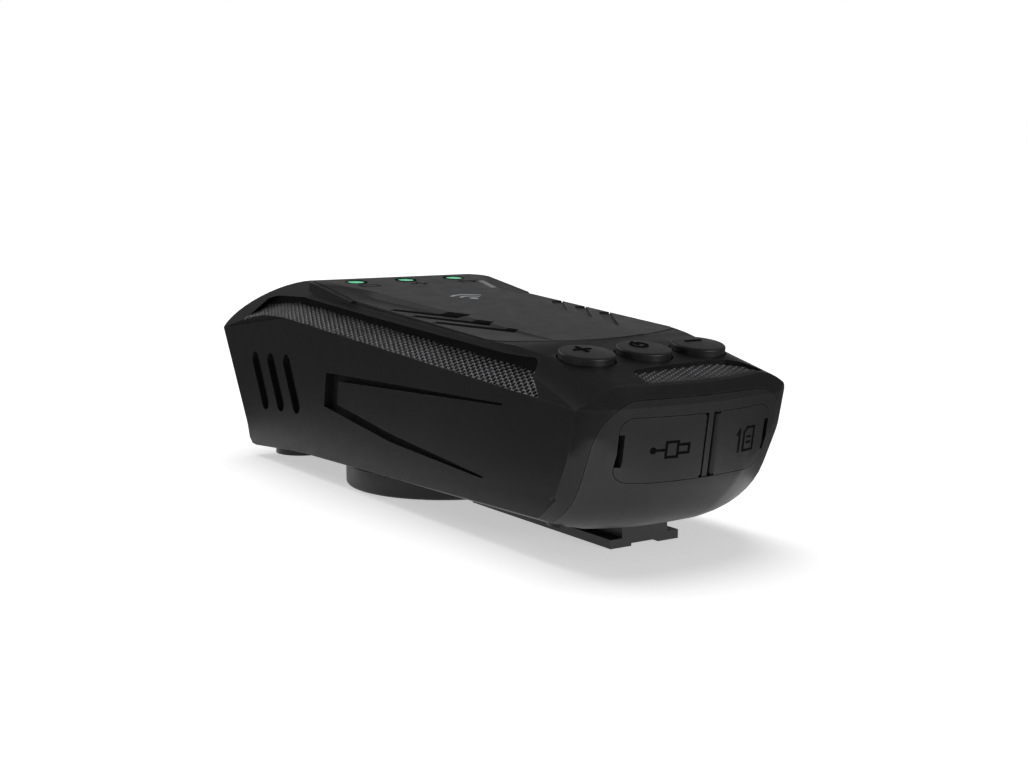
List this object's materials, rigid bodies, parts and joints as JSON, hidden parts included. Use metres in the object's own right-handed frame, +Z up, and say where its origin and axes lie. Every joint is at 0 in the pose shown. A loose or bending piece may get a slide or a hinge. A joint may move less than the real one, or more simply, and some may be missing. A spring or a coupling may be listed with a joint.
{
  "type": "wireless receiver unit",
  "caption": "Wedge-shaped portable receiver unit with status lights, push buttons, side grilles, hinged port doors, a round foot and an accessory rail.",
  "frame": {"origin": "centre of the round foot's underside", "axes": "+Z up, +X across the width, -Y towards the end with the port doors"},
  "size_m": [0.056, 0.1832, 0.0517],
  "materials": {
    "housing_plastic": "fine-grained matt black moulding",
    "plate_plastic": "satin dark grey moulding",
    "cap_plastic": "satin black moulding",
    "seal_rubber": "soft black seal",
    "grille_metal": "perforated steel, dark grey coating",
    "steel": "plain steel",
    "button_rubber": "satin black rubber",
    "brass": "plain brass",
    "circuit_board": "green solder mask",
    "led_glow": "translucent green lens",
    "chip_body": "white package",
    "card_plastic": "black card",
    "flex_film": "amber flexible circuit",
    "battery_wrap": "blue shrink wrap",
    "driver_plastic": "black driver basket",
    "black_screw": "black oxide screw",
    "rail_plastic": "matt black rail",
    "foot_plastic": "matt black ring",
    "pad_rubber": "black rubber pad"
  },
  "bodies": {
    "housing": {"lower_housing": "housing_plastic", "top_cover": "housing_plastic", "top_plate": "plate_plastic", "end_cap": "cap_plastic", "end_gasket": "seal_rubber", "side_grille_left": "grille_metal", "side_grille_right": "grille_metal", "deck_grille": "grille_metal", "usb_door_pin": "black_screw", "card_door_pin": "black_screw", "key_switches": "steel", "key_board": "circuit_board", "led_lenses": "led_glow", "led_chips": "chip_body", "led_board": "circuit_board", "main_board": "circuit_board", "usb_socket": "steel", "card_socket": "steel", "memory_card": "card_plastic", "radio_module": "steel", "antennas": "flex_film", "battery": "battery_wrap", "speakers": "driver_plastic", "microphone": "driver_plastic", "housing_screws": "black_screw", "board_screws": "steel", "shoe_rail": "rail_plastic", "rail_screws": "steel", "foot_cup": "foot_plastic", "foot_magnet": "steel", "foot_pad": "pad_rubber", "foot_screws": "steel"},
    "usb_flap": {"usb_door": "cap_plastic"},
    "card_flap": {"card_door": "cap_plastic"},
    "key_left": {"button_left": "button_rubber", "plunger_left": "brass"},
    "key_middle": {"button_middle": "button_rubber", "plunger_middle": "brass"},
    "key_right": {"button_right": "button_rubber", "plunger_right": "brass"}
  },
  "joints": [
    {"name": "usb_door_hinge", "type": "hinge", "parent": "housing", "child": "usb_flap", "pos_m": [0.0002, -0.10008, 0.02446], "axis": [0, -0.1558, 0.9878], "range_deg": [0, 90]},
    {"name": "card_door_hinge", "type": "hinge", "parent": "housing", "child": "card_flap", "pos_m": [0.0043, -0.10008, 0.02446], "axis": [0, 0.1558, -0.9878], "range_deg": [0, 90]},
    {"name": "button_left_press", "type": "slide", "parent": "housing", "child": "key_left", "axis": [0, 0.1495, -0.9888], "range_m": [0, 0.0008], "stiffness_N_per_m": 500, "springref_m": -0.001},
    {"name": "button_middle_press", "type": "slide", "parent": "housing", "child": "key_middle", "axis": [0, 0.1495, -0.9888], "range_m": [0, 0.0008], "stiffness_N_per_m": 500, "springref_m": -0.001},
    {"name": "button_right_press", "type": "slide", "parent": "housing", "child": "key_right", "axis": [0, 0.1495, -0.9888], "range_m": [0, 0.0008], "stiffness_N_per_m": 500, "springref_m": -0.001}
  ]
}
